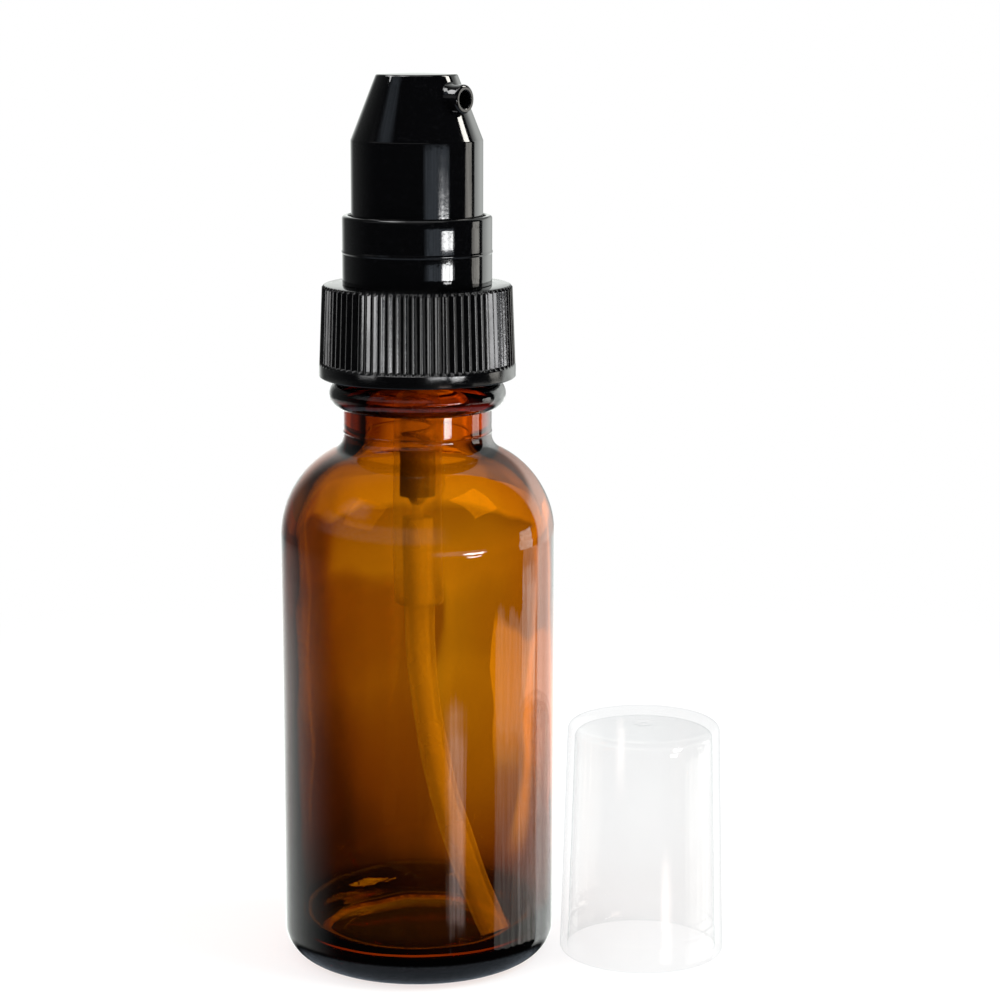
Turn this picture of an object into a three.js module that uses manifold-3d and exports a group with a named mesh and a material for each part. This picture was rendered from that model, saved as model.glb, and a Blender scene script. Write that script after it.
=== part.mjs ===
// A 30 ml amber Boston round bottle with a screw-on treatment pump, and the pump's clear over cap
// standing beside it. Millimetres, +Z up. Heights are measured from the table. The origin is the
// bottom centre of the whole set's bounding box.

import * as THREE from 'three';
import { mergeVertices } from 'three/addons/utils/BufferGeometryUtils.js';
import Module from 'manifold-3d';

const wasm = await Module();
wasm.setup();

// ---------------------------------------------------------------- driving dimensions

// Glass bottle: body, shoulder and base.
const BODY_RADIUS = 16.3;
const GLASS_WALL = 1.7;
const BASE_THICKNESS = 3.0;
const PUSH_UP = 0.9;
const PUSH_UP_RADIUS = 9.2;
const BEARING_RING_RADIUS = 11.0;
const HEEL_RADIUS = 3.6;
const SHOULDER_START = 51.5;
const SHOULDER_RADIUS = 11.5;

// Glass bottle: neck and 20-400 screw finish.
const NECK_RADIUS = 8.75;
const NECK_FILLET = 2.0;
const NECK_BORE = 6.2;
const BORE_FILLET = 4.0;
const NECK_BEAD_HEIGHT = 68.5;
const NECK_BEAD_CENTRE = 8.62;
const NECK_BEAD_RADIUS = 1.8;
const FINISH_RADIUS = 8.9;
const LIP_HEIGHT = 78.5;
const LIP_ROUNDING = 0.7;
const BORE_CHAMFER = 0.4;

// Screw threads of the finish and of the collar: 8 turns to the inch, right-handed.
const THREAD_PITCH = 25.4 / 8;
const GLASS_THREAD_WIRE = 1.0;
const GLASS_THREAD_START = 72.7;
const GLASS_THREAD_TURNS = 1.15;
const COLLAR_THREAD_WIRE = 0.75;
const COLLAR_THREAD_CENTRE = 9.95;
const COLLAR_THREAD_FIRST_TURN = 0.25;
const COLLAR_THREAD_TURNS = 1.0;

// Screw collar.
const COLLAR_FLANGE_RADIUS = 11.58;
const COLLAR_RIB_FOOT_RADIUS = 11.54;
const COLLAR_RIB_TOP_RADIUS = 11.17;
const COLLAR_BOTTOM = 70.43;
const COLLAR_FLANGE_TOP = 71.91;
const COLLAR_TOP = 81.35;
const COLLAR_EDGE = 0.3;
const COLLAR_BORE = 10.3;
const COLLAR_PLATE = 0.85;
const COLLAR_HOLE_RADIUS = 7.3;
const RING_SEAT_RADIUS = 9.0;
const RING_SEAT_DEPTH = 0.1;
const RIB_COUNT = 74;
const RIB_DEPTH = 0.36;

// Smooth neck ring, with a snap bead for the over cap.
const RING_RADIUS = 8.78;
const RING_BORE = 8.03;
const RING_TOP = 89.42;
const RING_BEAD_HEIGHT = 85.19;
const RING_BEAD = 0.07;
const RING_FLOOR = 82.4;
const RING_SPIGOT_RADIUS = 7.1;
const RING_SPIGOT_BORE = 6.3;

// Actuator: cylinder, cone and side nozzle.
const HEAD_RADIUS = 7.72;
const HEAD_WALL = 1.12;
const HEAD_BOTTOM = 87.6;
const CONE_START = 98.08;
const CONE_TOP_RADIUS = 4.73;
const HEAD_TOP = 105.64;
const HEAD_EDGE = 0.3;
const HEAD_HOLLOW_TOP = 101.2;
const BOSS_RADIUS = 3.0;
const BOSS_BOTTOM = 88.5;
const NOZZLE_HEIGHT = 102.9;
const NOZZLE_RADIUS = 1.69;
const NOZZLE_REACH = 7.25;
const NOZZLE_BORE = 1.0;
const CHANNEL_RADIUS = 0.8;
const NOZZLE_AZIMUTH = THREE.MathUtils.degToRad(-40);

// Moving parts of the pump.
const STEM_RADIUS = 2.0;
const STEM_BORE = 1.1;
const STEM_TOP = 97.0;
const STEM_BOTTOM = 75.65;
const STEM_PORT_RADIUS = 0.45;
const PLUNGER_HEAD_RADIUS = 2.6;
const PLUNGER_HEAD_BOTTOM = 74.3;
const PLUNGER_HEAD_TOP = 75.6;
const PLUNGER_PIN_BOTTOM = 70.0;
const PISTON_BOTTOM = 75.68;
const PISTON_TOP = 78.3;
const SPRING_WIRE = 0.225;
const SPRING_RADIUS = 1.95;
const SPRING_TURNS = 7.5;

// Housing and what it holds.
const CHAMBER_RADIUS = 4.7;
const CHAMBER_BORE = 3.8;
const CHAMBER_FLOOR = 69.0;
const BARREL_RADIUS = 2.85;
const BARREL_BORE = 2.15;
const BARREL_BOTTOM = 43.3;
const FLANGE_RADIUS = 9.3;
const FLANGE_BOTTOM = 79.5;
const FLANGE_TOP = 80.4;
const VALVE_LEDGE = 56.1;
const SEAT_TOP_RADIUS = 1.3;
const SEAT_DEPTH = 1.1;
const INLET_RADIUS = 0.75;
const SOCKET_TOP = 53.6;
const CAGE_RADIUS = 2.1;
const CAGE_TOP = 61.8;
const CAGE_FLUTES = 12;
const CAGE_FLUTE_DEPTH = 0.25;
const BALL_RADIUS = 1.2;
const BALL_LIFT_ROOM = 0.95;
const RETAINER_BOTTOM = 79.2;
const RETAINER_TOP = 83.2;
const RETAINER_FLANGE = 5.6;

// Dip tube: straight in its socket, then a parabola to the corner of the base.
const TUBE_RADIUS = 1.8;
const TUBE_BORE = 1.2;
const TUBE_BEND_START = 43.0;
const TUBE_END_HEIGHT = 4.3;
const TUBE_END_REACH = 11.6;
const TUBE_AZIMUTH = THREE.MathUtils.degToRad(-39.5);

// Over cap.
const CAP_HEIGHT = 28.2;
const CAP_STANDOFF = 0.1;
const CAP_TOP_RADIUS = 9.14;
const CAP_MOUTH_RADIUS = 9.93;
const CAP_WALL = 0.9;
const CAP_PLATE = 1.1;
const CAP_EDGE = 0.9;
const CAP_SNAP_HEIGHT = 3.25;
const CAP_SNAP_RADIUS = 8.8;
const CAP_X = 27.17;
const CAP_Y = -0.86;

// Clearances, how much of a turn a thread takes to run out, and how finely round parts are divided.
const RUNNING = 0.08;
const LOOSE = 0.05;
const SINK_TURNS = 0.12;
const FINE = 44;
const MEDIUM = 28;
const SMALL = 20;

// ---------------------------------------------------------------- geometry helpers

const at = (radius, height) => new THREE.Vector2(radius, height);

// Points of an arc in the (radius, height) plane. Angles are in radians from the outward direction.
function arc(centreRadius, centreHeight, radius, from, to, steps) {
  return Array.from({ length: steps + 1 }, (_, i) => {
    const angle = THREE.MathUtils.lerp(from, to, i / steps);
    return at(centreRadius + radius * Math.cos(angle), centreHeight + radius * Math.sin(angle));
  });
}

// A body of revolution about +Z. A profile off the axis is closed back to its first point.
function turned(profile, segments) {
  const onAxis = profile[0].x === 0;
  const outline = onAxis ? profile : [...profile, profile[0].clone()];
  return new THREE.LatheGeometry(outline, segments).rotateX(Math.PI / 2);
}

// A ring between two radii and two heights.
function ring(innerRadius, outerRadius, bottom, top, segments) {
  const corners = [
    at(innerRadius, bottom),
    at(outerRadius, bottom),
    at(outerRadius, top),
    at(innerRadius, top),
  ];
  return turned(corners, segments);
}

// A plain rod along +Z between two heights.
function rod(radius, bottom, top, segments) {
  const blank = new THREE.CylinderGeometry(radius, radius, top - bottom, segments);
  return blank.rotateX(Math.PI / 2).translate(0, 0, (bottom + top) / 2);
}

// A plain rod along +X between two reaches, at a height.
function crossRod(radius, from, to, height, segments) {
  const blank = new THREE.CylinderGeometry(radius, radius, to - from, segments);
  return blank.rotateZ(-Math.PI / 2).translate((from + to) / 2, 0, height);
}

// Every second line of a turned body's vertices, between two heights, moved in to leave ribs.
function ribbed(geometry, count, depth, bottom, top, smallestRadius) {
  const positions = geometry.attributes.position;
  for (let i = 0; i < positions.count; i += 1) {
    const x = positions.getX(i);
    const y = positions.getY(i);
    const z = positions.getZ(i);
    const radius = Math.hypot(x, y);
    const line = Math.round((Math.atan2(y, x) * count) / Math.PI);
    if (Math.abs(line) % 2 === 1 && z > bottom && z < top && radius > smallestRadius) {
      positions.setXY(i, (x * (radius - depth)) / radius, (y * (radius - depth)) / radius);
    }
  }
  return geometry;
}

// A right-handed helix about +Z, from a first height. Its ends can sink towards the axis.
class Helix extends THREE.Curve {
  constructor(radius, start, rise, firstTurn, turns, sink = 0) {
    super();
    Object.assign(this, { radius, start, rise, firstTurn, turns, sink });
  }

  getPoint(t, target = new THREE.Vector3()) {
    const angle = 2 * Math.PI * (this.firstTurn + this.turns * t);
    const turnsToEnd = this.turns * Math.min(t, 1 - t);
    const radius = this.radius - this.sink * Math.max(0, 1 - turnsToEnd / SINK_TURNS);
    return target.set(
      radius * Math.cos(angle),
      radius * Math.sin(angle),
      this.start + this.rise * t,
    );
  }
}

// A round wire, or a tube when it has a bore, along a curve.
function wire(curve, radius, bore, sides, steps) {
  const section = new THREE.Shape().absarc(0, 0, radius, 0, 2 * Math.PI, false);
  if (bore > 0) {
    section.holes.push(new THREE.Path().absarc(0, 0, bore, 0, 2 * Math.PI, true));
  }
  const options = { extrudePath: curve, steps, curveSegments: sides / 2, bevelEnabled: false };
  return new THREE.ExtrudeGeometry(section, options);
}

// A closed geometry as a manifold-3d solid.
function solid(geometry) {
  const bare = geometry.clone();
  bare.deleteAttribute('normal');
  bare.deleteAttribute('uv');
  const merged = mergeVertices(bare, 1e-5);
  const index = merged.index.array;
  const kept = [];
  for (let i = 0; i < index.length; i += 3) {
    const [a, b, c] = index.subarray(i, i + 3);
    if (a !== b && b !== c && c !== a) {
      kept.push(a, b, c);
    }
  }
  const vertProperties = new Float32Array(merged.attributes.position.array);
  const triVerts = new Uint32Array(kept);
  return new wasm.Manifold(new wasm.Mesh({ numProp: 3, vertProperties, triVerts }));
}

// A manifold-3d solid as a geometry.
function shaped(manifold) {
  const mesh = manifold.getMesh();
  const geometry = new THREE.BufferGeometry();
  geometry.setAttribute('position', new THREE.BufferAttribute(mesh.vertProperties, 3));
  geometry.setIndex(new THREE.BufferAttribute(mesh.triVerts, 1));
  geometry.computeVertexNormals();
  return geometry;
}

// ---------------------------------------------------------------- materials

const plastic = (color, roughness) =>
  new THREE.MeshStandardMaterial({ color, roughness, metalness: 0 });

const looks = {
  amberGlass: () =>
    new THREE.MeshStandardMaterial({
      color: 0x8a4a08,
      roughness: 0.05,
      metalness: 0,
      transparent: true,
      opacity: 0.6,
    }),
  glossBlack: () => plastic(0x0b0b0c, 0.12),
  satinBlack: () => plastic(0x101011, 0.35),
  natural: () => plastic(0xdcd9cc, 0.4),
  clear: () =>
    new THREE.MeshStandardMaterial({
      color: 0xf2f5f6,
      roughness: 0.08,
      metalness: 0,
      transparent: true,
      opacity: 0.3,
    }),
  liner: () => plastic(0xf0efea, 0.8),
  steel: () => new THREE.MeshStandardMaterial({ color: 0xb9bcc0, roughness: 0.25, metalness: 1 }),
};

function piece(name, geometry, material) {
  const mesh = new THREE.Mesh(geometry, material);
  mesh.name = name;
  return mesh;
}

// ---------------------------------------------------------------- glass bottle

// Centre height and contact angle of the fillet that blends a shoulder arc into an upright wall.
function shoulderBlend(arcRadius, wallRadius, fillet) {
  const arcCentre = BODY_RADIUS - SHOULDER_RADIUS;
  const across = wallRadius + fillet - arcCentre;
  const between = arcRadius + fillet;
  const angle = Math.acos(across / between);
  return { angle, height: SHOULDER_START + between * Math.sin(angle) };
}

function glassOutside() {
  const arcCentre = BODY_RADIUS - SHOULDER_RADIUS;
  const heelCentre = BODY_RADIUS - HEEL_RADIUS;
  const blend = shoulderBlend(SHOULDER_RADIUS, NECK_RADIUS, NECK_FILLET);
  const beadFoot = Math.acos((NECK_RADIUS - NECK_BEAD_CENTRE) / NECK_BEAD_RADIUS);
  const beadHead = Math.acos((FINISH_RADIUS - NECK_BEAD_CENTRE) / NECK_BEAD_RADIUS);
  const filletCentre = NECK_RADIUS + NECK_FILLET;
  const filletStart = Math.PI + blend.angle;
  return [
    at(0, PUSH_UP),
    at(PUSH_UP_RADIUS, PUSH_UP),
    at(BEARING_RING_RADIUS, 0),
    ...arc(heelCentre, HEEL_RADIUS, HEEL_RADIUS, -Math.PI / 2, 0, 4),
    ...arc(arcCentre, SHOULDER_START, SHOULDER_RADIUS, 0, blend.angle, 5),
    ...arc(filletCentre, blend.height, NECK_FILLET, filletStart, Math.PI, 3).slice(1),
    ...arc(NECK_BEAD_CENTRE, NECK_BEAD_HEIGHT, NECK_BEAD_RADIUS, -beadFoot, beadHead, 6),
    ...arc(FINISH_RADIUS - LIP_ROUNDING, LIP_HEIGHT - LIP_ROUNDING, LIP_ROUNDING, 0, Math.PI / 2, 2),
    at(NECK_BORE + BORE_CHAMFER, LIP_HEIGHT),
    at(NECK_BORE, LIP_HEIGHT - BORE_CHAMFER),
  ];
}

function glassInside() {
  const arcCentre = BODY_RADIUS - SHOULDER_RADIUS;
  const arcRadius = SHOULDER_RADIUS - GLASS_WALL;
  const blend = shoulderBlend(arcRadius, NECK_BORE, BORE_FILLET);
  const cornerCentre = BODY_RADIUS - GLASS_WALL - HEEL_RADIUS;
  const cornerHeight = BASE_THICKNESS + HEEL_RADIUS;
  return [
    ...arc(NECK_BORE + BORE_FILLET, blend.height, BORE_FILLET, Math.PI, Math.PI + blend.angle, 3),
    ...arc(arcCentre, SHOULDER_START, arcRadius, blend.angle, 0, 4).slice(1),
    ...arc(cornerCentre, cornerHeight, HEEL_RADIUS, 0, -Math.PI / 2, 3),
    at(0, BASE_THICKNESS),
  ];
}

function bottle() {
  const glass = solid(turned([...glassOutside(), ...glassInside()], FINE));
  const rise = THREAD_PITCH * GLASS_THREAD_TURNS;
  const path = new Helix(
    FINISH_RADIUS,
    GLASS_THREAD_START,
    rise,
    0,
    GLASS_THREAD_TURNS,
    GLASS_THREAD_WIRE,
  );
  const thread = solid(wire(path, GLASS_THREAD_WIRE, 0, 8, 24));
  return piece('bottle', shaped(glass.add(thread)), looks.amberGlass());
}

// ---------------------------------------------------------------- closure

function screwCollar() {
  const ribFoot = COLLAR_FLANGE_TOP + COLLAR_EDGE / 2;
  const ribTop = COLLAR_TOP - COLLAR_EDGE;
  const outline = [
    at(0, COLLAR_BOTTOM),
    at(COLLAR_FLANGE_RADIUS, COLLAR_BOTTOM),
    at(COLLAR_FLANGE_RADIUS, COLLAR_FLANGE_TOP),
    at(COLLAR_RIB_FOOT_RADIUS, ribFoot),
    at(COLLAR_RIB_TOP_RADIUS, ribTop),
    at(COLLAR_RIB_TOP_RADIUS - COLLAR_EDGE, COLLAR_TOP),
    at(0, COLLAR_TOP),
  ];
  const blank = turned(outline, 2 * RIB_COUNT);
  const lowest = COLLAR_FLANGE_TOP + COLLAR_EDGE / 4;
  const highest = COLLAR_TOP - COLLAR_EDGE / 2;
  const body = solid(ribbed(blank, RIB_COUNT, RIB_DEPTH, lowest, highest, COLLAR_BORE));
  const bore = solid(rod(COLLAR_BORE, COLLAR_BOTTOM - 1, COLLAR_TOP - COLLAR_PLATE, FINE));
  const hole = solid(rod(COLLAR_HOLE_RADIUS, COLLAR_BOTTOM, COLLAR_TOP + 1, FINE));
  const ringSeat = solid(rod(RING_SEAT_RADIUS, COLLAR_TOP - RING_SEAT_DEPTH, COLLAR_TOP + 1, FINE));
  const start = GLASS_THREAD_START + THREAD_PITCH * (COLLAR_THREAD_FIRST_TURN - 0.5);
  const path = new Helix(
    COLLAR_THREAD_CENTRE,
    start,
    THREAD_PITCH * COLLAR_THREAD_TURNS,
    COLLAR_THREAD_FIRST_TURN,
    COLLAR_THREAD_TURNS,
  );
  const thread = solid(wire(path, COLLAR_THREAD_WIRE, 0, 8, 20));
  const shell = body.subtract(bore).subtract(hole).subtract(ringSeat);
  return piece('screw_collar', shaped(shell.add(thread)), looks.satinBlack());
}

function neckRing() {
  const foot = COLLAR_TOP - RING_SEAT_DEPTH + 2 * LOOSE;
  const edge = 0.4;
  const outline = [
    at(RING_SPIGOT_BORE, FLANGE_TOP + LOOSE),
    at(RING_SPIGOT_RADIUS, FLANGE_TOP + LOOSE),
    at(RING_SPIGOT_RADIUS, foot),
    at(RING_RADIUS, foot),
    at(RING_RADIUS, RING_BEAD_HEIGHT - 2 * RING_BEAD),
    at(RING_RADIUS + RING_BEAD, RING_BEAD_HEIGHT - RING_BEAD),
    at(RING_RADIUS + RING_BEAD, RING_BEAD_HEIGHT + RING_BEAD),
    at(RING_RADIUS, RING_BEAD_HEIGHT + 2 * RING_BEAD),
    ...arc(RING_RADIUS - edge, RING_TOP - edge, edge, 0, Math.PI / 2, 3),
    at(RING_BORE, RING_TOP - edge / 4),
    at(RING_BORE, RING_FLOOR),
    at(BOSS_RADIUS + 2 * LOOSE, RING_FLOOR),
    at(BOSS_RADIUS + 2 * LOOSE, foot),
    at(RING_SPIGOT_BORE, foot),
  ];
  return piece('neck_ring', turned(outline, FINE), looks.glossBlack());
}

function gasket() {
  const bottom = LIP_HEIGHT + LOOSE;
  const top = FLANGE_BOTTOM - LOOSE;
  const inner = NECK_BORE + 2 * LOOSE;
  return piece('gasket', ring(inner, FLANGE_RADIUS - LOOSE, bottom, top, MEDIUM), looks.liner());
}

// ---------------------------------------------------------------- pump

function housing() {
  const step = CHAMBER_FLOOR - 1.1;
  const chamfer = 0.25;
  const socket = TUBE_RADIUS + 0.06;
  const seatTop = VALVE_LEDGE - 0.1;
  const outline = [
    at(socket, BARREL_BOTTOM),
    at(BARREL_RADIUS - chamfer, BARREL_BOTTOM),
    at(BARREL_RADIUS, BARREL_BOTTOM + 2 * chamfer),
    at(BARREL_RADIUS, step),
    at(CHAMBER_RADIUS - chamfer, step),
    at(CHAMBER_RADIUS, step + chamfer),
    at(CHAMBER_RADIUS, FLANGE_BOTTOM),
    at(FLANGE_RADIUS, FLANGE_BOTTOM),
    at(FLANGE_RADIUS, FLANGE_TOP),
    at(CHAMBER_BORE, FLANGE_TOP),
    at(CHAMBER_BORE, CHAMBER_FLOOR),
    at(BARREL_BORE, CHAMBER_FLOOR),
    at(BARREL_BORE, VALVE_LEDGE),
    at(SEAT_TOP_RADIUS, VALVE_LEDGE),
    at(SEAT_TOP_RADIUS, seatTop),
    at(INLET_RADIUS, seatTop - SEAT_DEPTH),
    at(INLET_RADIUS, SOCKET_TOP),
    at(socket, SOCKET_TOP),
  ];
  return piece('housing', turned(outline, MEDIUM), looks.natural());
}

function stemRetainer() {
  const outline = [
    at(STEM_RADIUS + RUNNING, RETAINER_BOTTOM),
    at(CHAMBER_BORE - RUNNING, RETAINER_BOTTOM),
    at(CHAMBER_BORE - RUNNING, FLANGE_TOP + LOOSE),
    at(RETAINER_FLANGE, FLANGE_TOP + LOOSE),
    at(RETAINER_FLANGE, COLLAR_TOP),
    at(BOSS_RADIUS, COLLAR_TOP),
    at(BOSS_RADIUS, RETAINER_TOP),
    at(STEM_RADIUS + RUNNING, RETAINER_TOP),
  ];
  return piece('stem_retainer', turned(outline, MEDIUM), looks.natural());
}

function upperStem() {
  const tube = solid(ring(STEM_BORE, STEM_RADIUS, STEM_BOTTOM, STEM_TOP, SMALL));
  const portHeight = STEM_BOTTOM + 2 * STEM_PORT_RADIUS;
  const reach = 2 * STEM_RADIUS;
  const ports = solid(crossRod(STEM_PORT_RADIUS, -reach, reach, portHeight, 8));
  return piece('upper_stem', shaped(tube.subtract(ports)), looks.natural());
}

function plungerCore() {
  const bevel = 0.3;
  const pin = SPRING_RADIUS - 2 * SPRING_WIRE - 0.2;
  const spigot = STEM_BORE - RUNNING;
  const spigotTop = PLUNGER_HEAD_TOP + 3;
  const outline = [
    at(0, PLUNGER_PIN_BOTTOM),
    at(pin - bevel, PLUNGER_PIN_BOTTOM),
    at(pin, PLUNGER_PIN_BOTTOM + bevel),
    at(pin, PLUNGER_HEAD_BOTTOM),
    at(PLUNGER_HEAD_RADIUS, PLUNGER_HEAD_BOTTOM),
    at(PLUNGER_HEAD_RADIUS, PLUNGER_HEAD_TOP - bevel),
    at(PLUNGER_HEAD_RADIUS - bevel, PLUNGER_HEAD_TOP),
    at(spigot, PLUNGER_HEAD_TOP),
    at(spigot, spigotTop),
    at(0, spigotTop),
  ];
  const body = solid(turned(outline, SMALL));
  const flowSlot = new THREE.BoxGeometry(4 * spigot, spigot, spigotTop - PLUNGER_HEAD_TOP);
  flowSlot.translate(0, 0, (spigotTop + PLUNGER_HEAD_TOP) / 2 + bevel);
  return piece('plunger_core', shaped(body.subtract(solid(flowSlot))), looks.natural());
}

function piston() {
  const bore = STEM_RADIUS + RUNNING;
  const lip = CHAMBER_BORE - RUNNING;
  const waist = lip - 0.3;
  const lipHeight = 0.5;
  const outline = [
    at(bore, PISTON_BOTTOM),
    at(lip, PISTON_BOTTOM),
    at(lip, PISTON_BOTTOM + lipHeight),
    at(waist, PISTON_BOTTOM + 1.6 * lipHeight),
    at(waist, PISTON_TOP - 1.6 * lipHeight),
    at(lip, PISTON_TOP - lipHeight),
    at(lip, PISTON_TOP),
    at(bore, PISTON_TOP),
  ];
  return piece('piston', turned(outline, MEDIUM), looks.liner());
}

function spring() {
  const start = CAGE_TOP + SPRING_WIRE + LOOSE;
  const end = PLUNGER_HEAD_BOTTOM - SPRING_WIRE - LOOSE;
  const path = new Helix(SPRING_RADIUS - SPRING_WIRE, start, end - start, 0, SPRING_TURNS);
  return piece('spring', wire(path, SPRING_WIRE, 0, 6, 12 * SPRING_TURNS), looks.steel());
}

function valveCage() {
  const bottom = VALVE_LEDGE + 2 * LOOSE;
  const pocket = BALL_RADIUS + 0.15;
  const roof = bottom + BALL_RADIUS + BALL_LIFT_ROOM;
  const outline = [
    at(pocket, bottom),
    at(CAGE_RADIUS, bottom),
    at(CAGE_RADIUS, CAGE_TOP),
    at(INLET_RADIUS, CAGE_TOP),
    at(INLET_RADIUS, roof),
    at(pocket, roof),
  ];
  const blank = turned(outline, 2 * CAGE_FLUTES);
  const fluted = ribbed(blank, CAGE_FLUTES, CAGE_FLUTE_DEPTH, 0, HEAD_TOP, pocket + LOOSE);
  return piece('valve_cage', fluted, looks.glossBlack());
}

// The ball's height, for it to sit just clear of the conical seat in the housing.
function ballHeight() {
  const seatTop = VALVE_LEDGE - 0.1;
  const slope = Math.atan2(SEAT_DEPTH, SEAT_TOP_RADIUS - INLET_RADIUS);
  const gap = BALL_RADIUS + LOOSE - SEAT_TOP_RADIUS * Math.sin(slope);
  return seatTop + gap / Math.cos(slope);
}

function inletBall() {
  const ball = piece('inlet_ball', new THREE.SphereGeometry(BALL_RADIUS, 16, 10), looks.steel());
  ball.position.z = ballHeight();
  return ball;
}

function dipTube() {
  const bendMiddle = (TUBE_BEND_START + TUBE_END_HEIGHT) / 2;
  const path = new THREE.CurvePath();
  const top = new THREE.Vector3(0, 0, SOCKET_TOP - 2 * LOOSE);
  const bend = new THREE.Vector3(0, 0, TUBE_BEND_START);
  const middle = new THREE.Vector3(0, 0, bendMiddle);
  const end = new THREE.Vector3(TUBE_END_REACH, 0, TUBE_END_HEIGHT);
  path.add(new THREE.LineCurve3(top, bend));
  path.add(new THREE.QuadraticBezierCurve3(bend, middle, end));
  const tube = piece('dip_tube', wire(path, TUBE_RADIUS, TUBE_BORE, 12, 18), looks.natural());
  tube.rotation.z = TUBE_AZIMUTH;
  return tube;
}

// ---------------------------------------------------------------- actuator

function actuator() {
  const slope = (HEAD_RADIUS - CONE_TOP_RADIUS) / (HEAD_TOP - CONE_START);
  const bore = STEM_RADIUS + 0.05;
  const boreTop = STEM_TOP + LOOSE;
  const coneAt = (height) => HEAD_RADIUS - slope * Math.max(0, height - CONE_START);
  const outline = [
    at(0, NOZZLE_HEIGHT),
    at(CHANNEL_RADIUS, NOZZLE_HEIGHT),
    at(CHANNEL_RADIUS, boreTop),
    at(bore, boreTop),
    at(bore, BOSS_BOTTOM),
    at(BOSS_RADIUS, BOSS_BOTTOM),
    at(BOSS_RADIUS, HEAD_HOLLOW_TOP),
    at(coneAt(HEAD_HOLLOW_TOP) - HEAD_WALL, HEAD_HOLLOW_TOP),
    at(HEAD_RADIUS - HEAD_WALL, CONE_START),
    at(HEAD_RADIUS - HEAD_WALL, HEAD_BOTTOM),
    at(HEAD_RADIUS, HEAD_BOTTOM),
    at(HEAD_RADIUS, CONE_START),
    at(coneAt(HEAD_TOP - HEAD_EDGE), HEAD_TOP - HEAD_EDGE),
    at(CONE_TOP_RADIUS - HEAD_EDGE, HEAD_TOP),
    at(0, HEAD_TOP),
  ];
  const head = solid(turned(outline, FINE));
  const nozzle = solid(crossRod(NOZZLE_RADIUS, BOSS_RADIUS / 2, NOZZLE_REACH, NOZZLE_HEIGHT, SMALL));
  const channel = solid(crossRod(CHANNEL_RADIUS, 0, NOZZLE_REACH + 1, NOZZLE_HEIGHT, 12));
  const mouthDepth = 3;
  const mouthStart = NOZZLE_REACH - mouthDepth;
  const mouth = solid(crossRod(NOZZLE_BORE, mouthStart, NOZZLE_REACH + 1, NOZZLE_HEIGHT, 16));
  const body = head.add(nozzle).subtract(channel).subtract(mouth);
  const mesh = piece('actuator', shaped(body), looks.glossBlack());
  mesh.rotation.z = NOZZLE_AZIMUTH;
  return mesh;
}

// ---------------------------------------------------------------- over cap

function overCap() {
  const taper = (CAP_MOUTH_RADIUS - CAP_TOP_RADIUS) / CAP_HEIGHT;
  const outsideAt = (height) => CAP_MOUTH_RADIUS - taper * height;
  const insideAt = (height) => outsideAt(height) - CAP_WALL;
  const ceiling = CAP_HEIGHT - CAP_PLATE;
  const ease = 0.5;
  const snapHalf = 0.1;
  const edgeHeight = CAP_HEIGHT - CAP_EDGE;
  const outline = [
    at(0, ceiling),
    at(insideAt(ceiling) - ease, ceiling),
    at(insideAt(ceiling - ease), ceiling - ease),
    at(insideAt(CAP_SNAP_HEIGHT + ease), CAP_SNAP_HEIGHT + ease),
    at(CAP_SNAP_RADIUS, CAP_SNAP_HEIGHT + snapHalf),
    at(CAP_SNAP_RADIUS, CAP_SNAP_HEIGHT - snapHalf),
    at(insideAt(CAP_SNAP_HEIGHT - ease), CAP_SNAP_HEIGHT - ease),
    at(insideAt(0), 0),
    at(CAP_MOUTH_RADIUS, 0),
    ...arc(outsideAt(edgeHeight) - CAP_EDGE, edgeHeight, CAP_EDGE, 0, Math.PI / 2, 5),
    at(0, CAP_HEIGHT),
  ];
  const cap = piece('over_cap', turned(outline, FINE), looks.clear());
  cap.position.set(CAP_X, CAP_Y, CAP_STANDOFF);
  return cap;
}

// ---------------------------------------------------------------- assembly

const pump = new THREE.Group();
pump.add(gasket(), screwCollar(), neckRing(), housing(), stemRetainer());
pump.add(upperStem(), plungerCore(), piston(), spring(), valveCage(), inletBall());
pump.add(dipTube(), actuator());

const pumpOilBottle = new THREE.Group();
pumpOilBottle.add(bottle(), pump, overCap());

// The set spans from the bottle's left side to the over cap's right side.
pumpOilBottle.position.x = (BODY_RADIUS - (CAP_X + CAP_MOUTH_RADIUS)) / 2;

export default pumpOilBottle;
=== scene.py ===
"""Looks of the pump oil bottle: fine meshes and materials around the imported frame.

Profiles are in millimetres as (radius, height above the table); meshes are in metres in the frame.
"""

import math

import bpy
from mathutils import Euler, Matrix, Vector, noise


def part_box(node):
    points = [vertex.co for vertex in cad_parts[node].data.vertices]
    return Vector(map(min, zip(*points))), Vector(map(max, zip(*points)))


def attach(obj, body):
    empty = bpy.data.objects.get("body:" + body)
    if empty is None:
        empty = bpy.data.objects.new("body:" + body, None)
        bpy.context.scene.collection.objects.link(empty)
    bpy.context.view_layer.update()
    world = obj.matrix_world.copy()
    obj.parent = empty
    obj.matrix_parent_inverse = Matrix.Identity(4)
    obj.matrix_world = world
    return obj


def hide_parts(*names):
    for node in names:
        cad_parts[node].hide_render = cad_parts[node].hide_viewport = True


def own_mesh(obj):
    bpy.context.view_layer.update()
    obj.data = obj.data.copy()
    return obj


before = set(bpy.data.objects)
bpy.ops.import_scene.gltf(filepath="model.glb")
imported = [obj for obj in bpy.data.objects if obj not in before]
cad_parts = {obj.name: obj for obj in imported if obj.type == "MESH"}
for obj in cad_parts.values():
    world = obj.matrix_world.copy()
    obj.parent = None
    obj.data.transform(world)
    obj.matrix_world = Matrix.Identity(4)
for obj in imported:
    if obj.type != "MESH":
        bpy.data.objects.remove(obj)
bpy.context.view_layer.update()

MM = 0.001
TAU = 2 * math.pi


# ---------------------------------------------------------------- places, from the frame


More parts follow.
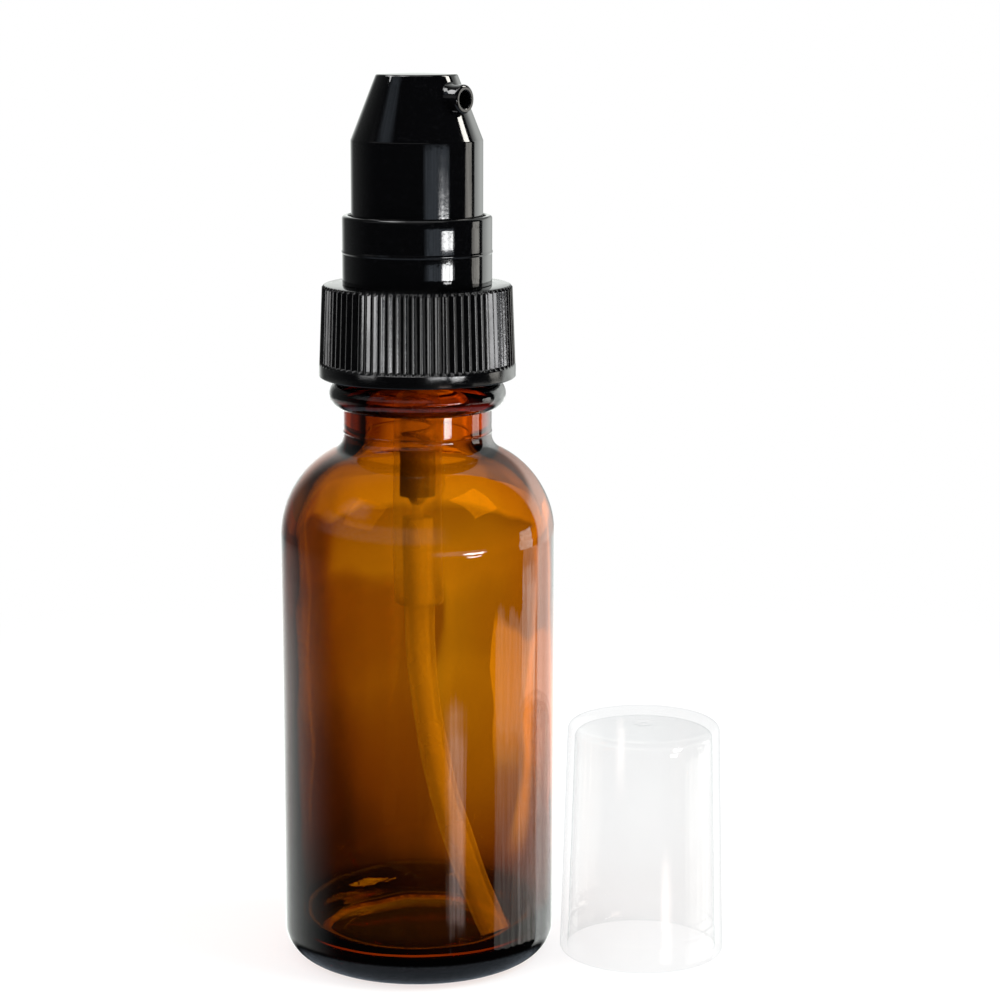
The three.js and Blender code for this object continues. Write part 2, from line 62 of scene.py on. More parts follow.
def span(node):
    """A node's widest radius, lowest and highest height, in millimetres."""
    low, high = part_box(node)
    return (high.x - low.x) / 2 / MM, low.z / MM, high.z / MM


def middle(node):
    """The x and y of a node's centre, in metres."""
    low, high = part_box(node)
    return (low.x + high.x) / 2, (low.y + high.y) / 2


AXIS = middle("bottle")
CAP_AXIS = middle("over_cap")
BODY_RADIUS, _, LIP = span("bottle")
COLLAR_RADIUS, COLLAR_BOTTOM, COLLAR_TOP = span("screw_collar")
RING_RADIUS, RING_FOOT, RING_TOP = span("neck_ring")
_, HEAD_BOTTOM, HEAD_TOP = span("actuator")
CAP_RADIUS, _, CAP_HEIGHT = span("over_cap")
FLANGE_RADIUS, BARREL_BOTTOM, FLANGE_TOP = span("housing")
CAGE_RADIUS, CAGE_BOTTOM, CAGE_TOP = span("valve_cage")
SPRING_RADIUS, SPRING_BOTTOM, SPRING_TOP = span("spring")
STEM_RADIUS, STEM_BOTTOM, STEM_TOP = span("upper_stem")
PISTON_RADIUS, PISTON_BOTTOM, PISTON_TOP = span("piston")
CORE_RADIUS, CORE_BOTTOM, CORE_TOP = span("plunger_core")
RETAINER_RADIUS, RETAINER_BOTTOM, RETAINER_TOP = span("stem_retainer")
GASKET_RADIUS, GASKET_BOTTOM, GASKET_TOP = span("gasket")
BALL_RADIUS, BALL_BOTTOM, BALL_TOP = span("inlet_ball")
_, _, TUBE_TOP = span("dip_tube")

# Glass.
WALL = 1.7
BASE = 3.0
PUSH_UP = 0.9
PUSH_UP_RADIUS = 9.2
BEARING_RADIUS = 11.0
HEEL = 3.6
SHOULDER_START = 51.5
SHOULDER = 11.5
NECK = 8.75
NECK_BORE = 6.2
MOULD_SEAM_HEIGHT = 64.0
FINISH = 8.9
FINISH_START = 70.6
THREAD_PITCH = 25.4 / 8
THREAD_START = 72.7
THREAD_TURNS = 1.15

# Collar.
RIBS = 74
RIB_DEPTH = 0.36
RIB_STEPS = 16
CREST = 0.1
COLLAR_BORE = 10.3
COLLAR_HOLE = 7.3

# Neck ring: the spigot that stands in the collar's hole.
SPIGOT_RADIUS = 7.1
SPIGOT_BORE = 6.3

# Bore of the piston and of the retainer, which the stem passes through.
SLIDE_BORE = 2.08

# Actuator.
HEAD_RADIUS = 7.72
CONE_START = 98.08
CONE_TOP = 4.73
NOZZLE_HEIGHT = 102.9
NOZZLE_RADIUS = 1.69
NOZZLE_REACH = 7.25
NOZZLE_BORE = 1.0
CHANNEL = 0.8
NOZZLE_AZIMUTH = math.radians(-40)

# Dip tube.
TUBE_RADIUS = 1.8
TUBE_BORE = 1.2
TUBE_BEND_START = 43.0
TUBE_REACH = 11.6
TUBE_END = 4.3
BARREL_RADIUS = 2.85
TUBE_AZIMUTH = math.radians(-39.5)


# ---------------------------------------------------------------- mesh helpers


def arc(centre, radius, start, end, steps):
    """Points of an arc in the profile plane; angles in radians from the outward direction."""
    angles = [start + (end - start) * i / steps for i in range(steps + 1)]
    return [(centre[0] + radius * math.cos(a), centre[1] + radius * math.sin(a)) for a in angles]


def softened(corners, steps=5):
    """A profile with its corners rounded.

    Each corner is (radius, height) or (radius, height, rounding).
    """
    outline = []
    for i, corner in enumerate(corners):
        here = Vector(corner[:2])
        rounding = corner[2] if len(corner) > 2 else 0
        before = Vector(corners[i - 1][:2]) - here
        after = Vector(corners[(i + 1) % len(corners)][:2]) - here
        if rounding <= 0 or before.length < 1e-6 or after.length < 1e-6:
            outline.append(tuple(here))
            continue
        angle = before.angle(after)
        reach = min(rounding / math.tan(angle / 2), 0.49 * before.length, 0.49 * after.length)
        radius = reach * math.tan(angle / 2)
        inward = (before.normalized() + after.normalized()).normalized()
        centre = here + inward * (radius / math.sin(angle / 2))
        first = here + before.normalized() * reach - centre
        last = here + after.normalized() * reach - centre
        for k in range(steps + 1):
            turn = first.normalized().slerp(last.normalized(), k / steps)
            outline.append(tuple(centre + turn * radius))
    return outline


def dense(profile, step):
    """A profile with points added so that no stretch is longer than step."""
    outline = []
    for (r0, z0), (r1, z1) in zip(profile, profile[1:]):
        count = max(1, math.ceil(math.hypot(r1 - r0, z1 - z0) / step))
        outline += [(r0 + (r1 - r0) * k / count, z0 + (z1 - z0) * k / count) for k in range(count)]
    return outline + [profile[-1]]


def placed(name, data):
    """A new object that holds the data, in the scene."""
    made = bpy.data.objects.new(name, data)
    bpy.context.scene.collection.objects.link(made)
    return made


def finished(name, vertices, faces, body, node, material, sharp=35):
    """Makes the piece from its mesh, shades it and hangs it on its body in place of its node."""
    mesh = bpy.data.meshes.new(name)
    mesh.from_pydata(vertices, [], faces)
    mesh.validate()
    mesh.shade_smooth()
    mesh.set_sharp_from_angle(angle=math.radians(sharp))
    mesh.materials.append(material)
    piece = placed(name, mesh)
    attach(piece, body)
    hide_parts(node)
    return piece


def revolve(profile, segments, centre=AXIS, radius_at=None):
    """Vertices and faces of a turned body. A profile off the axis closes on itself.

    radius_at(row, radius, height, angle) can change the radius of each vertex.
    """
    vertices, rings, faces = [], [], []
    for row, (radius, height) in enumerate(profile):
        if radius < 1e-9:
            rings.append([len(vertices)] * segments)
            vertices.append((centre[0], centre[1], height * MM))
            continue
        rings.append(list(range(len(vertices), len(vertices) + segments)))
        for k in range(segments):
            angle = TAU * k / segments
            r = radius_at(row, radius, height, angle) if radius_at else radius
            x = centre[0] + r * MM * math.cos(angle)
            y = centre[1] + r * MM * math.sin(angle)
            vertices.append((x, y, height * MM))
    pairs = list(zip(rings, rings[1:]))
    if profile[0][0] > 1e-9:
        pairs.append((rings[-1], rings[0]))
    for low, high in pairs:
        for k in range(segments):
            n = (k + 1) % segments
            corners = [low[k], low[n], high[n], high[k]]
            faces.append([c for i, c in enumerate(corners) if c != corners[i - 1]])
    return vertices, faces


def sweep(path, sides, radii, centre=AXIS):
    """Vertices and faces of a round tube along a path of points in millimetres.

    radii holds the section's circles from outside in: one for a solid wire, two for a tube.
    """
    count = len(path)
    vertices, faces = [], []
    normal = None
    for i, point in enumerate(path):
        along = (path[min(i + 1, count - 1)] - path[max(i - 1, 0)]).normalized()
        if normal is None:
            normal = along.orthogonal().normalized()
        normal = (normal - along * normal.dot(along)).normalized()
        across = along.cross(normal)
        for radius in radii:
            for k in range(sides):
                a = TAU * k / sides
                p = point + radius * (normal * math.cos(a) + across * math.sin(a))
                vertices.append((centre[0] + p.x * MM, centre[1] + p.y * MM, p.z * MM))
    row = sides * len(radii)
    for i in range(count - 1):
        for c in range(len(radii)):
            for k in range(sides):
                n = (k + 1) % sides
                a, b = i * row + c * sides + k, i * row + c * sides + n
                quad = [a, b, b + row, a + row]
                faces.append(quad if c == 0 else quad[::-1])
    for start, flip in ((0, True), ((count - 1) * row, False)):
        if len(radii) == 1:
            cap = [start + k for k in range(sides)]
            faces.append(cap[::-1] if flip else cap)
            continue
        for k in range(sides):
            n = (k + 1) % sides
            quad = [start + k, start + n, start + sides + n, start + sides + k]
            faces.append(quad[::-1] if flip else quad)
    return vertices, faces


def smooth(low, high, value):
    """0 at low, 1 at high, with a soft start and end between them."""
    t = min(1, max(0, (value - low) / (high - low)))
    return t * t * (3 - 2 * t)


# ---------------------------------------------------------------- node helpers


class Graph:
    """A node tree. add() makes a node; inputs are values or sockets, by name or number."""

    def __init__(self, owner):
        owner.use_nodes = True
        self.tree = owner.node_tree
        self.tree.nodes.clear()

    def add(self, kind, inputs=None, **settings):
        node = self.tree.nodes.new("ShaderNode" + kind)
        for name, value in settings.items():
            setattr(node, name, value)
        for key, value in (inputs or {}).items():
            if isinstance(value, bpy.types.NodeSocket):
                self.tree.links.new(value, node.inputs[key])
            else:
                node.inputs[key].default_value = value
        return node.outputs

    def maths(self, operation, a, b=0.0):
        return self.add("Math", {0: a, 1: b}, operation=operation)[0]

    def times(self, *factors):
        """The product of the factors, taken in order."""
        product = factors[0]
        for factor in factors[1:]:
            product = self.maths("MULTIPLY", product, factor)
        return product

    def one_minus(self, value):
        return self.maths("SUBTRACT", 1.0, value)

    def ramp(self, value, low, high, out_low=0.0, out_high=1.0):
        """value mapped smoothly from low..high to out_low..out_high."""
        inputs = {
            "Value": value,
            "From Min": low,
            "From Max": high,
            "To Min": out_low,
            "To Max": out_high,
        }
        return self.add("MapRange", inputs, interpolation_type="SMOOTHSTEP")[0]

    def band(self, value, low, high, soft):
        """1 between low and high and 0 outside, with edges as wide as soft."""
        rising = self.ramp(value, low - soft / 2, low + soft / 2)
        falling = self.ramp(value, high - soft / 2, high + soft / 2, 1.0, 0.0)
        return self.times(rising, falling)

    def curve(self, value, points):
        """value looked up in a few (value, result) points, with straight lines between them."""
        low, high = points[0][0], points[-1][0]
        most = max(result for _, result in points)
        place = self.add("MapRange", {"Value": value, "From Min": low, "From Max": high})[0]
        ramp = self.tree.nodes.new("ShaderNodeValToRGB")
        self.tree.links.new(place, ramp.inputs[0])
        stops = ramp.color_ramp.elements
        for extra in points[1:-1]:
            stops.new((extra[0] - low) / (high - low))
        for stop, (_, result) in zip(stops, points):
            stop.color = (result / most,) * 3 + (1,)
        return self.times(ramp.outputs[0], most)

    def noise(self, scale, detail=2.0, roughness=0.5, coords=None):
        inputs = {"Scale": scale, "Detail": detail, "Roughness": roughness}
        if coords is not None:
            inputs["Vector"] = coords
        return self.add("TexNoise", inputs)[0]

    def mix(self, share, a, b):
        return self.add("MixShader", {0: share, 1: a, 2: b})[0]

    def colour(self, share, a, b):
        """A mix of two colours. The node's colour inputs are 6 and 7, and its colour output is 2."""
        return self.add("Mix", {0: share, 6: a, 7: b}, data_type="RGBA")[2]

    def camera_right(self, vector):
        """How far a world vector points to the camera's right."""
        turn = {"vector_type": "VECTOR", "convert_from": "WORLD", "convert_to": "CAMERA"}
        seen = self.add("VectorTransform", {0: vector}, **turn)[0]
        return self.add("SeparateXYZ", {0: seen})["X"]

    def bump(self, height, distance, strength=1.0):
        return self.add("Bump", {"Height": height, "Distance": distance, "Strength": strength})[0]


def material(name):
    """A new material, its graph and the socket of the place in the object."""
    made = bpy.data.materials.new(name)
    g = Graph(made)
    return made, g, g.add("TexCoord")["Object"]


def lets_light_in(g, surface, tint):
    """The surface, with shadow rays passing through it tinted in place of caustics."""
    path = g.add("LightPath")
    clear = g.add("BsdfTransparent", {"Color": tint})[0]
    return g.mix(path["Is Shadow Ray"], surface, clear)


# ---------------------------------------------------------------- materials


def amber_glass():
    """Blown glass: its colour comes from depth, and its surface has a slow ripple."""
    made, g, place = material("amber_glass")
    ripple = g.noise(110, 2.0, 0.5, place)
    glass = g.add(
        "BsdfPrincipled",
        {
            "Base Color": (0.98, 0.98, 0.98, 1),
            "Roughness": 0.0,
            "IOR": 1.52,
            "Transmission Weight": 1.0,
            "Normal": g.bump(ripple, 0.00003, 0.8),
        },
    )[0]
    surface = lets_light_in(g, glass, (0.97, 0.97, 0.97, 1))
    volume = g.add("VolumeAbsorption", {"Color": (0.8925, 0.7275, 0.0, 1), "Density": 2000.0})[0]
    g.add("OutputMaterial", {"Surface": surface, "Volume": volume})
    return made


def black_plastic(name, roughness, variation, grain):
    """Black polypropylene: its roughness varies, and a fine grain breaks up reflections."""
    made, g, place = material(name)
    cloud = g.noise(180, 4.0, 0.6, place)
    fine = g.noise(2600, 2.0, 0.6, place)
    rough = g.ramp(cloud, 0.35, 0.7, roughness, roughness + variation)
    deep, faded = (0.0010, 0.0010, 0.0012, 1), (0.0035, 0.0035, 0.004, 1)
    tint = g.colour(g.ramp(fine, 0.55, 0.8), deep, faded)
    surface = g.add(
        "BsdfPrincipled",
        {
            "Base Color": tint,
            "Roughness": rough,
            "IOR": 1.49,
            "Normal": g.bump(fine, grain, 1.0),
        },
    )[0]
    g.add("OutputMaterial", {"Surface": surface})
    return made


def thin_plastic(name, straight, grazing, milk, milk_colour, sheen, roughness):
    """Thin unpigmented plastic: see-through, darker at its edges, with a little haze and shine.

    straight and grazing tint what is seen through it, milk is the share of haze, and sheen is the most
    that it reflects.
    """
    made, g, place = material(name)
    cloud = g.noise(120, 3.0, 0.5, place)
    fine = g.noise(700, 3.0, 0.6, place)
    edge = g.add("LayerWeight", {"Blend": 0.5})["Facing"]
    edge = g.maths("POWER", edge, 5.0)
    through = g.add("BsdfTransparent", {"Color": g.colour(edge, straight, grazing)})[0]
    front = g.add("BsdfDiffuse", {"Color": milk_colour})[0]
    back = g.add("BsdfTranslucent", {"Color": milk_colour})[0]
    haze = g.mix(0.5, front, back)
    share = g.ramp(cloud, 0.3, 0.7, 0.7 * milk, 1.3 * milk)
    body = g.mix(share, through, haze)
    shine = g.add(
        "BsdfGlossy",
        {
            "Color": (1, 1, 1, 1),
            "Roughness": g.ramp(cloud, 0.3, 0.7, roughness, 2 * roughness),
            "Normal": g.bump(fine, 0.000002, 1.0),
        },
    )[0]
    mirror = g.maths("MINIMUM", g.add("Fresnel", {"IOR": 1.49})[0], sheen)
    g.add("OutputMaterial", {"Surface": g.mix(mirror, body, shine)})
    return made


def liner_white():
    """Foamed white liner, with fine cells."""
    made, g, place = material("liner_white")
    cells = g.add("TexVoronoi", {"Vector": place, "Scale": 3000.0})["Distance"]
    surface = g.add(
        "BsdfPrincipled",
        {
            "Base Color": g.colour(cells, (0.82, 0.82, 0.79, 1), (0.93, 0.93, 0.91, 1)),
            "Roughness": 0.7,
            "Normal": g.bump(cells, 0.00004, 0.5),
        },
    )[0]
    g.add("OutputMaterial", {"Surface": surface})
    return made


def stainless():
    """Drawn stainless steel."""
    made, g, place = material("stainless")
    drawn = g.noise(1500, 2.0, 0.5, place)
    surface = g.add(
        "BsdfPrincipled",
        {
            "Base Color": (0.72, 0.73, 0.74, 1),
            "Metallic": 1.0,
            "Roughness": g.ramp(drawn, 0.3, 0.7, 0.15, 0.3),
        },
    )[0]
    g.add("OutputMaterial", {"Surface": surface})
    return made


GLASS = amber_glass()
GLOSS = black_plastic("gloss_black", 0.035, 0.05, 0.000002)
SATIN = black_plastic("satin_black", 0.10, 0.08, 0.000005)
CLEAR = thin_plastic(
    "clear_plastic",
    straight=(0.989, 0.99, 0.99, 1),
    grazing=(0.74, 0.755, 0.765, 1),
    milk=0.015,
    milk_colour=(0.95, 0.96, 0.97, 1),
    sheen=0.045,
    roughness=0.02,
)
TUBING = thin_plastic(
    "tubing_plastic",
    straight=(0.96, 0.96, 0.95, 1),
    grazing=(0.8, 0.78, 0.73, 1),
    milk=0.22,
    milk_colour=(0.95, 0.92, 0.86, 1),
    sheen=0.3,
    roughness=0.08,
)
NATURAL = thin_plastic(
    "natural_plastic",
    straight=(0.985, 0.985, 0.975, 1),
    grazing=(0.9, 0.89, 0.86, 1),
    milk=0.12,
    milk_colour=(0.95, 0.93, 0.88, 1),
    sheen=0.25,
    roughness=0.05,
)
LINER = liner_white()
STEEL = stainless()


# ---------------------------------------------------------------- glass bottle


def blend_of(arc_radius, wall, fillet):
    """Contact angle and centre height of the fillet between a shoulder arc and an upright wall."""
    across = wall + fillet - (BODY_RADIUS - SHOULDER)
    angle = math.acos(across / (arc_radius + fillet))
    return angle, SHOULDER_START + (arc_radius + fillet) * math.sin(angle)


def bottle_profile():
    """The glass's outside from the middle of its base up, and its inside back down."""
    centre = BODY_RADIUS - SHOULDER
    fillet, bore_fillet = 2.0, 4.0
    bead, bead_centre, bead_height = 1.8, 8.62, 68.5
    lip = 0.7
    contact, height = blend_of(SHOULDER, NECK, fillet)
    inner_contact, inner_height = blend_of(SHOULDER - WALL, NECK_BORE, bore_fillet)
    foot = math.acos((NECK - bead_centre) / bead)
    head = math.acos((FINISH - bead_centre) / bead)
    bore = BODY_RADIUS - WALL
    neck_centre = NECK_BORE + bore_fillet
    corner = (bore - HEEL, BASE + HEEL)
    seam = softened(
        [
            (NECK, MOULD_SEAM_HEIGHT - 0.3),
            (NECK, MOULD_SEAM_HEIGHT - 0.16, 0.1),
            (NECK + 0.08, MOULD_SEAM_HEIGHT, 0.06),
            (NECK, MOULD_SEAM_HEIGHT + 0.16, 0.1),
            (NECK, MOULD_SEAM_HEIGHT + 0.3),
        ]
    )
    underside = softened(
        [
            (0, PUSH_UP),
            (PUSH_UP_RADIUS, PUSH_UP, 1.5),
            (BEARING_RADIUS, 0.0, 0.4),
            (BEARING_RADIUS + 1.2, 0.0),
        ]
    )[:-1]
    outside = [
        *underside,
        *arc((BODY_RADIUS - HEEL, HEEL), HEEL, -math.pi / 2, 0, 14),
        *dense([(BODY_RADIUS, HEEL + 1), (BODY_RADIUS, SHOULDER_START - 1)], 3),
        *arc((centre, SHOULDER_START), SHOULDER, 0, contact, 24),
        *arc((NECK + fillet, height), fillet, math.pi + contact, math.pi, 8)[1:],
        *seam,
        *arc((bead_centre, bead_height), bead, -foot, head, 20),
        *dense([(FINISH, FINISH_START), (FINISH, LIP - lip - 0.1)], 0.12),
        *arc((FINISH - lip, LIP - lip), lip, 0, math.pi / 2, 5),
        *arc((NECK_BORE + 0.5, LIP - 0.5), 0.5, math.pi / 2, math.pi, 5),
    ]
    inside = [
        *dense([(NECK_BORE, LIP - 1), (NECK_BORE, inner_height + 1)], 2),
        *arc((neck_centre, inner_height), bore_fillet, math.pi, math.pi + inner_contact, 12),
        *arc((centre, SHOULDER_START), SHOULDER - WALL, inner_contact, 0, 20)[1:],
        *dense([(bore, SHOULDER_START - 1), (bore, corner[1] + 1)], 2.5),
        *arc(corner, HEEL, 0, -math.pi / 2, 12),
        *dense([(corner[0] - 1, BASE), (1, BASE)], 2.5),
        (0, BASE),
    ]
    return outside, inside


def thread_bump(height, angle):
    """How far the glass thread stands out of the finish at a height and angle."""
    stand = 0
    for lap in range(3):
        turn = angle / TAU + lap
        if not 0 <= turn <= THREAD_TURNS:
            continue
        off = height - THREAD_START - THREAD_PITCH * turn
        fade = smooth(0, 0.12, min(turn, THREAD_TURNS - turn))
        if abs(off) < 1:
            stand = max(stand, fade * math.sqrt(1 - off * off))
    return stand


def bottle():
    """The glass, with its thread outside and its uneven wall inside."""
    outside, inside = bottle_profile()
    swell, dimple = 0.16, 0.05

    def radius_at(row, radius, height, angle):
        if row < len(outside):
            on_finish = height > FINISH_START - 0.1 and radius >= FINISH - 1e-6
            return radius + thread_bump(height, angle) if on_finish else radius
        place = Vector((math.cos(angle) * 1.6, math.sin(angle) * 1.6, height * 0.07))
        uneven = noise.noise(place) * swell + noise.noise(place * 2.7) * dimple
        return radius + uneven * smooth(0, 6, radius) * smooth(62, 55, height)

    vertices, faces = revolve(outside + inside, 192, radius_at=radius_at)
    return finished("bottle_glass", vertices, faces, "bottle", "bottle", GLASS)


# ---------------------------------------------------------------- closure


def collar():
    """The ribbed collar with its flange below, its thread inside and the hole in its top."""
    flange_top = COLLAR_BOTTOM + 1.48
    foot, head = COLLAR_RADIUS - 0.04, COLLAR_RADIUS - 0.41
    rib_bottom, rib_top = flange_top + 0.12, COLLAR_TOP - 0.55
    plate = COLLAR_TOP - 0.85
    outer = softened(
        [
            (COLLAR_BORE, COLLAR_BOTTOM, 0.25),
            (COLLAR_RADIUS, COLLAR_BOTTOM, 0.2),
            (COLLAR_RADIUS, flange_top, 0.1),
            (foot, flange_top + 0.05),
        ]
    )[:-1]
    heights = [rib_bottom + step for step in (0, 0.06, 0.12, 0.18, 0.25, 0.32, 0.4)]
    heights += [rib_bottom + (rib_top - rib_bottom) * k / 6 for k in range(1, 6)]
    heights += [rib_top - 0.1, rib_top, rib_top + 0.12, rib_top + 0.24]
    slope = (foot - head) / (COLLAR_TOP - rib_bottom)
    rise = [(foot - slope * (height - rib_bottom), height) for height in heights]
    shoulder = ((0.08, 0.22), (0.2, 0.06), (0.38, 0))
    crown = [(head - inward, COLLAR_TOP - down) for inward, down in shoulder]
    top = softened(
        [
            (head - 0.5, COLLAR_TOP),
            (COLLAR_HOLE, COLLAR_TOP, 0.1),
            (COLLAR_HOLE, plate, 0.1),
            (COLLAR_BORE, plate, 0.3),
            (COLLAR_BORE, plate - 1),
        ]
    )[1:-1]
    thread_zone = dense([(COLLAR_BORE, plate - 1), (COLLAR_BORE, COLLAR_BOTTOM + 0.4)], 0.22)
    profile = outer + rise + crown + top + thread_zone

    def radius_at(row, radius, height, angle):
        if radius > COLLAR_BORE + 0.2 and rib_bottom - 0.01 <= height:
            fade = smooth(COLLAR_TOP + 0.02, COLLAR_TOP - 0.35, height)
            fade *= 0.2 + 0.8 * smooth(rib_bottom - 0.02, rib_bottom + 0.25, height)
            return radius - RIB_DEPTH * fade * (1 - rib_stand(angle))
        if abs(radius - COLLAR_BORE) < 1e-6 and COLLAR_BOTTOM + 0.3 < height < plate - 0.5:
            return radius - collar_thread(height, angle)
        return radius

    vertices, faces = revolve(profile, RIBS * RIB_STEPS, radius_at=radius_at)
    return finished(
        "collar_shell", vertices, faces, "screw_collar", "screw_collar", SATIN, sharp=50
    )


def rib_stand(angle):
    """1 on the crest of a rib, which CREST rounds, and 0 in the middle of a groove."""
    across = (angle * RIBS / TAU) % 1
    away = min(across, 1 - across)
    return 1 - (math.hypot(away, CREST) - CREST) / (math.hypot(0.5, CREST) - CREST)


def collar_thread(height, angle):
    """How far the collar's inner thread stands in from its bore."""
    wire, centre, first, turns = 0.75, 9.95, 0.25, 1.0
    stand = 0
    for lap in range(3):
        turn = angle / TAU + lap
        if not first <= turn <= first + turns:
            continue
        off = height - (THREAD_START + THREAD_PITCH * (turn - 0.5))
        if abs(off) < wire:
            stand = max(stand, COLLAR_BORE - centre + math.sqrt(wire * wire - off * off))
    return stand


def neck_ring():
    """The smooth ring on the collar, with the small bead that the over cap snaps past."""
    bead = 0.07
    wall = RING_RADIUS - bead
    foot = COLLAR_TOP
    bead_height = RING_TOP - 4.23
    floor = RING_TOP - 7.02
    bore, hole = 8.03, 3.1
    profile = softened(
        [
            (SPIGOT_BORE, RING_FOOT, 0.1),
            (SPIGOT_RADIUS, RING_FOOT, 0.1),
            (SPIGOT_RADIUS, foot, 0.05),
            (wall, foot, 0.12),
            (wall, bead_height - 0.22, 0.1),
            (RING_RADIUS, bead_height - 0.04, 0.08),
            (RING_RADIUS, bead_height + 0.04, 0.08),
            (wall, bead_height + 0.22, 0.1),
            (wall, RING_TOP, 0.42),
            (bore, RING_TOP, 0.2),
            (bore, floor, 0.3),
            (hole, floor, 0.1),
            (hole, foot, 0.1),
            (SPIGOT_BORE, foot, 0.2),
        ]
    )
    vertices, faces = revolve(dense(profile, 1.2), 192)
    return finished("ring_shell", vertices, faces, "pump_body", "neck_ring", GLOSS)


# ---------------------------------------------------------------- actuator


def head_profile():
    """The head from the blind end of its channel, around its boss and wall, to the top's middle."""
    wall, edge, bevel, crown = 1.12, 0.32, 0.5, 0.22
    stem_bore, boss, boss_foot = 2.05, 3.0, 88.5
    slope = (HEAD_RADIUS - CONE_TOP) / (HEAD_TOP - CONE_START)
    hollow_top = 101.2
    inner_cone = HEAD_RADIUS - slope * (hollow_top - CONE_START) - wall
    return softened(
        [
            (0, NOZZLE_HEIGHT),
            (CHANNEL, NOZZLE_HEIGHT, 0.1),
            (CHANNEL, STEM_TOP + 0.05, 0.1),
            (stem_bore, STEM_TOP + 0.05, 0.1),
            (stem_bore, boss_foot, 0.15),
            (boss, boss_foot, 0.15),
            (boss, hollow_top, 0.3),
            (inner_cone, hollow_top, 0.3),
            (HEAD_RADIUS - wall, CONE_START, 0.3),
            (HEAD_RADIUS - wall, HEAD_BOTTOM, 0.1),
            (HEAD_RADIUS, HEAD_BOTTOM, 0.25),
            (HEAD_RADIUS, CONE_START, bevel),
            (CONE_TOP, HEAD_TOP, edge),
            *[(CONE_TOP * k / 6, HEAD_TOP + crown * (1 - (k / 6) ** 2)) for k in range(5, -1, -1)],
        ],
        steps=7,
    )


def along_nozzle(profile, sides=72):
    """A closed body turned about the nozzle's axis.

    The profile is (radius, reach from the bottle's axis).
    """
    out = Vector((math.cos(NOZZLE_AZIMUTH), math.sin(NOZZLE_AZIMUTH), 0))
    across = Vector((-out.y, out.x, 0))
    vertices, faces = revolve(profile, sides, centre=(0, 0))
    start = Vector((AXIS[0], AXIS[1], NOZZLE_HEIGHT * MM))
    return [start + across * x + Vector((0, 0, y)) + out * z for x, y, z in vertices], faces


def plain_object(name, vertices, faces):
    mesh = bpy.data.meshes.new(name)
    mesh.from_pydata(vertices, [], faces)
    return placed(name, mesh)


def joined(piece, tool, operation):
    """piece with the tool's mesh united or cut away; the tool is deleted."""
    modifier = piece.modifiers.new("shape", "BOOLEAN")
    modifier.operation = operation
    modifier.solver = "EXACT"
    modifier.object = tool
    bpy.context.view_layer.update()
    evaluated = piece.evaluated_get(bpy.context.evaluated_depsgraph_get())
    result = bpy.data.meshes.new_from_object(evaluated)
    piece.modifiers.clear()
    piece.data = result
    bpy.data.objects.remove(tool)
    return piece


def nozzle_tube():
    """The nozzle's outside with its flared root, its rounded lip and the wide mouth of its bore."""
    root, root_end, root_steps, spread = 3.4, 6.3, 14, 1.1
    mouth = NOZZLE_BORE + 0.03
    flare = []
    for k in range(root_steps + 1):
        reach = root + (root_end - root) * k / root_steps
        flare.append((NOZZLE_RADIUS + spread * (1 - smooth(root, root_end, reach)) ** 1.6, reach))
    tip = softened(
        [
            flare[-1],
            (NOZZLE_RADIUS, NOZZLE_REACH, 0.4),
            (mouth, NOZZLE_REACH, 0.14),
            (mouth, NOZZLE_REACH - 0.6, 0.1),
            (NOZZLE_BORE, NOZZLE_REACH - 0.7, 0.1),
            (NOZZLE_BORE, NOZZLE_REACH - 1.6),
            (0, NOZZLE_REACH - 1.6),
        ],
        steps=8,
    )
    return [(0, root), *flare[:-1], *tip]


def actuator():
    """The head with its nozzle joined on and the nozzle's bore cut through to the channel."""
    head = plain_object("head_blank", *revolve(dense(head_profile(), 1.5), 160))
    tube = plain_object("tube_blank", *along_nozzle(nozzle_tube()))
    start, step, end = 0.3, NOZZLE_REACH - 3, NOZZLE_REACH - 1.2
    wide = NOZZLE_BORE - 0.02
    cut = [(0, start), (CHANNEL, start), (CHANNEL, step), (wide, step), (wide, end), (0, end)]
    bore = plain_object("bore_blank", *along_nozzle(cut, 48))
    head = joined(head, tube, "UNION")
    head = joined(head, bore, "DIFFERENCE")
    vertices = [v.co.copy() for v in head.data.vertices]
    faces = [list(p.vertices) for p in head.data.polygons]
    bpy.data.objects.remove(head)
    return finished("head_shell", vertices, faces, "actuator", "actuator", GLOSS, 28)


# ---------------------------------------------------------------- pump inside


def housing():
    """The accumulator: barrel, chamber and flange, with the ball's seat and the tube's socket."""
    step, flange_foot, chamber_floor = 67.9, 79.5, 69.0
    chamber, chamber_bore, cage_bore, port, seat = 4.7, 3.8, 2.15, 0.75, 1.3
    ledge, socket = CAGE_BOTTOM - 0.1, TUBE_RADIUS + 0.06
    profile = softened(
        [
            (socket, BARREL_BOTTOM, 0.15),
            (BARREL_RADIUS, BARREL_BOTTOM, 0.45),
            (BARREL_RADIUS, step, 0.3),
            (chamber, step, 0.4),
            (chamber, flange_foot, 0.2),
            (FLANGE_RADIUS, flange_foot, 0.1),
            (FLANGE_RADIUS, FLANGE_TOP, 0.1),
            (chamber_bore, FLANGE_TOP, 0.15),
            (chamber_bore, chamber_floor, 0.3),
            (cage_bore, chamber_floor, 0.2),
            (cage_bore, ledge, 0.1),
            (seat, ledge),
            (port, ledge - 1.2),
            (port, TUBE_TOP + 0.1),
            (socket, TUBE_TOP + 0.1, 0.1),
        ]
    )
    vertices, faces = revolve(dense(profile, 2), 96)
    return finished("housing_shell", vertices, faces, "pump_body", "housing", NATURAL)


